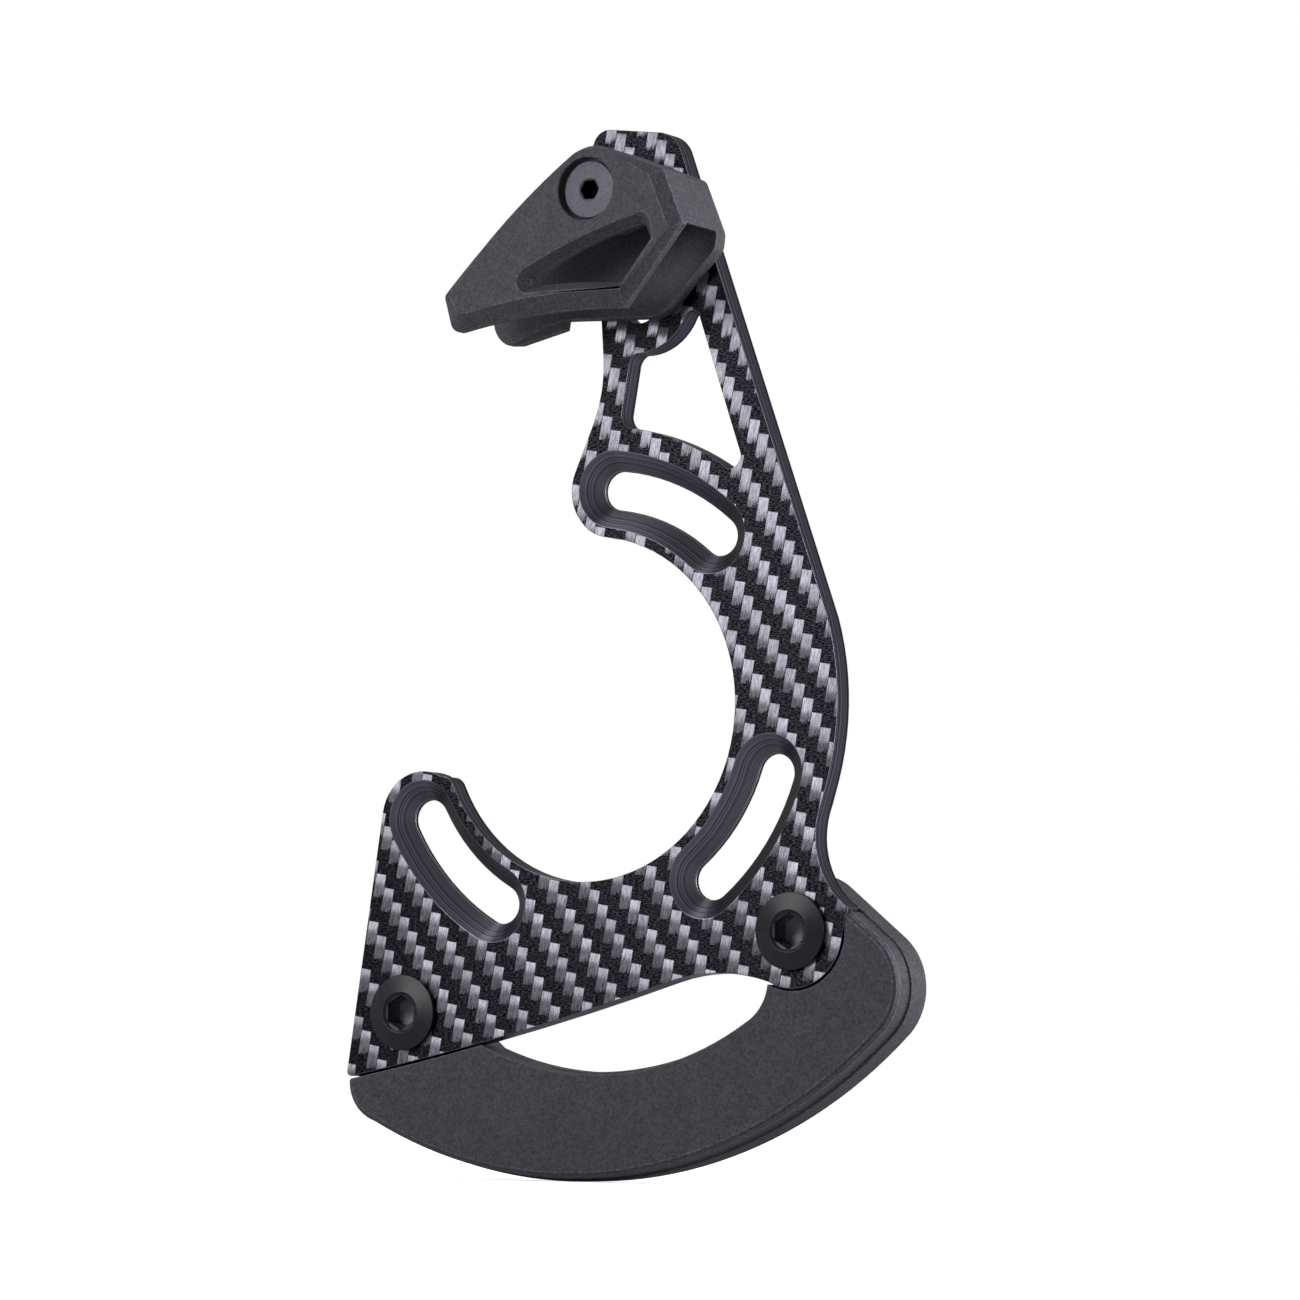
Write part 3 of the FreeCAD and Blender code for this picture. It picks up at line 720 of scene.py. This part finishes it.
# %% Set the fasteners
def set_in_line(piece, first, last, count, finish):
    """Puts copies of a fastener from the first place to the last, as one plain mesh."""
    placing = piece.modifiers.new("placing", "NODES")
    placing.node_group = in_line
    placing[socket_of["First Place"]] = first
    placing[socket_of["Last Place"]] = last
    placing[socket_of["Count"]] = count
    placing[socket_of["Finish"]] = finish
    settle(piece)


bolt_edge = 0.12
guard_holes = 2
in_pairs = [("guard_bolts", guard_bolt_rings, False), ("guard_nuts", guard_nut_rings, True)]
for node, rings, closed in in_pairs:
    low, high = (Vector(corner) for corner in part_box(node))
    single = turned(node + "_turned", rings, closed)
    round_edges(single, bolt_edge)
    reach_x = max(corner[0] for corner in single.bound_box)
    reach_z = max(corner[2] for corner in single.bound_box)
    first = (low.x + reach_x, 0, low.z + reach_z)
    last = (high.x - reach_x, 0, high.z - reach_z)
    set_in_line(single, first, last, guard_holes, anodised)
    stand_for(single, node, anodised)

low, high = (Vector(corner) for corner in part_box("guide_bolt"))
bolt_axis = ((low.x + high.x) / 2, 0, (low.z + high.z) / 2)
guide_bolt = turned("guide_bolt_turned", guide_bolt_rings, twist=math.pi / hexagon)
round_edges(guide_bolt, bolt_edge)
set_in_line(guide_bolt, bolt_axis, bolt_axis, 1, oxide)
stand_for(guide_bolt, "guide_bolt", oxide)

# %% [markdown]
# ## The plate
# A milled edge is crisper than a moulded one, and is only broken with abrasive paper so that it
# doesn't splinter. So the plate gets the same kind of copy with a smaller radius, and the laminate's
# finish finds its faces, its walls and its rims by itself, and paints the rims a lighter grey as a
# painted highlight.

# %% Dress the plate
plate_radius = 0.1
soft_copy("backplate", plate_radius, carbon)

# %% [markdown]
# ## Stage and camera
# A light tent is the usual way to show black parts: white all round, with broad lamps so that every
# edge finds something bright to reflect. The floor lies under the guard's lowest point. Floor and
# world look white to the camera and to reflections, and give the object itself a quieter light. Near
# the object the floor's white is held back, so that the shadow stays.


# %% Floor
def on_show(tree):
    """One for rays that show the stage itself: from the camera, a reflection or a clear piece."""
    path = add(tree, "ShaderNodeLightPath").outputs
    seen = add(tree, "ShaderNodeMath", {0: path["Is Camera Ray"], 1: path["Is Glossy Ray"]},
               operation="MAXIMUM")
    return add(tree, "ShaderNodeMath", {0: seen, 1: path["Is Transmission Ray"]}, operation="MAXIMUM")


white = "#ffffff"
board_grey = "#b4b4b6"
floor_reach = 12.0
shadow_near = 0.1
shadow_far = 0.35
near_glow = 0.6
low, high = (Vector(corner) for corner in cad_box)
floor_mesh = bpy.data.meshes.new("floor")
corners = [(-1, -1), (1, -1), (1, 1), (-1, 1)]
floor_mesh.from_pydata([(x * floor_reach, y * floor_reach, low.z) for x, y in corners], [],
                       [(0, 1, 2, 3)])
floor = bpy.data.objects.new("floor", floor_mesh)
bpy.context.scene.collection.objects.link(floor)
floor_paint, tree, output = new_finish("matt_white_board")
board = add(tree, "ShaderNodeBsdfDiffuse", {"Color": linear(board_grey)})
away = add(tree, "ShaderNodeVectorMath", {0: add(tree, "ShaderNodeTexCoord").outputs["Object"]},
           operation="LENGTH").outputs["Value"]
lift = add(tree, "ShaderNodeMapRange", {"Value": away, "From Min": shadow_near, "From Max": shadow_far,
                                        "To Min": near_glow, "To Max": 1.0})
lift = add(tree, "ShaderNodeMath", {0: on_show(tree), 1: lift}, operation="MULTIPLY")
glow = add(tree, "ShaderNodeEmission", {"Color": linear(white), "Strength": lift})
board = add(tree, "ShaderNodeAddShader", {0: board, 1: glow})
tree.links.new(board.outputs[0], output.inputs["Surface"])
floor_mesh.materials.append(floor_paint)
print("floor at", round(low.z / mm, 1), "mm")

# %% World
quiet_strength = 0.12
world = bpy.data.worlds.new("light_tent")
bpy.context.scene.world = world
world.use_nodes = True
tree = world.node_tree
tree.nodes.clear()
quiet = add(tree, "ShaderNodeBackground", {"Color": linear(white), "Strength": quiet_strength})
bright = add(tree, "ShaderNodeBackground", {"Color": linear(white), "Strength": 1.0})
tent = add(tree, "ShaderNodeMixShader", {"Fac": on_show(tree), 1: quiet, 2: bright})
tree.links.new(tent.outputs[0], add(tree, "ShaderNodeOutputWorld").inputs["Surface"])
print(world.name, "lights the object with", quiet_strength)

# %% [markdown]
# Four softboxes stand round the part, as a photographer would place them. A small one in front and to
# the left lights the plate's face, and a strong one on the right, a little behind, lights the edges
# that face it. A large one hangs above, and a weak one on the left lifts that side.


# %% Lamps
def softbox(name, place, aim, size, power):
    """A rectangular lamp that the camera doesn't see, turned to its aim."""
    lamp = bpy.data.lights.new(name, "AREA")
    lamp.shape = "RECTANGLE"
    lamp.size, lamp.size_y = size
    lamp.energy = power
    stand = bpy.data.objects.new(name, lamp)
    bpy.context.scene.collection.objects.link(stand)
    stand.location = place
    stand.visible_camera = False
    stand.rotation_euler = (aim - place).to_track_quat("-Z", "Y").to_euler()


# Each lamp's place from the middle of the part and its size are in metres, its power in watts
lamps = {
    "lamp_over": ((-0.3, -0.4, 0.75), (0.7, 0.5), 5.0),
    "lamp_front": ((-0.2, -0.42, 0.125), (0.22, 0.27), 2.9),
    "lamp_rim": ((0.8, 0.25, 0.2), (0.4, 0.5), 25.0),
    "lamp_left": ((-0.8, -0.35, 0.3), (0.3, 0.4), 2.0),
}
middle = (low + high) / 2
for name, (offset, size, power) in lamps.items():
    softbox(name, middle + Vector(offset), middle, size, power)
print("lamps", list(lamps))

# %% [markdown]
# The camera stands where the photographer stood. Its place was worked out from the outlines in the
# photo: the angles give its direction, and the distance and the lens give the frame.

# %% Camera at the photographer's place
photo_azimuth = math.radians(31.2)
photo_elevation = math.radians(-4.592)
photo_roll = math.radians(0.988)
photo_distance = 899.46 * mm
photo_target = Vector((9.39, 0.76, 9.84)) * mm
photo_lens = 151.24

back = Vector((math.sin(photo_azimuth) * math.cos(photo_elevation),
               -math.cos(photo_azimuth) * math.cos(photo_elevation),
               math.sin(photo_elevation)))
level = Vector((math.cos(photo_azimuth), math.sin(photo_azimuth), 0))
camera_right = math.cos(photo_roll) * level + math.sin(photo_roll) * back.cross(level)
camera_up = back.cross(camera_right)
camera_data = bpy.data.cameras.new("camera")
camera_data.sensor_width = 36.0
camera_data.lens = photo_lens
camera_data.clip_start = 0.01
camera = bpy.data.objects.new("camera", camera_data)
bpy.context.scene.collection.objects.link(camera)
camera_turn = Matrix((camera_right, camera_up, back)).transposed().to_4x4()
camera.matrix_world = Matrix.Translation(photo_target + back * photo_distance) @ camera_turn
bpy.context.scene.camera = camera
bpy.context.scene.view_settings.view_transform = "Standard"
print("camera at", [round(v / mm) for v in camera.location], "mm")
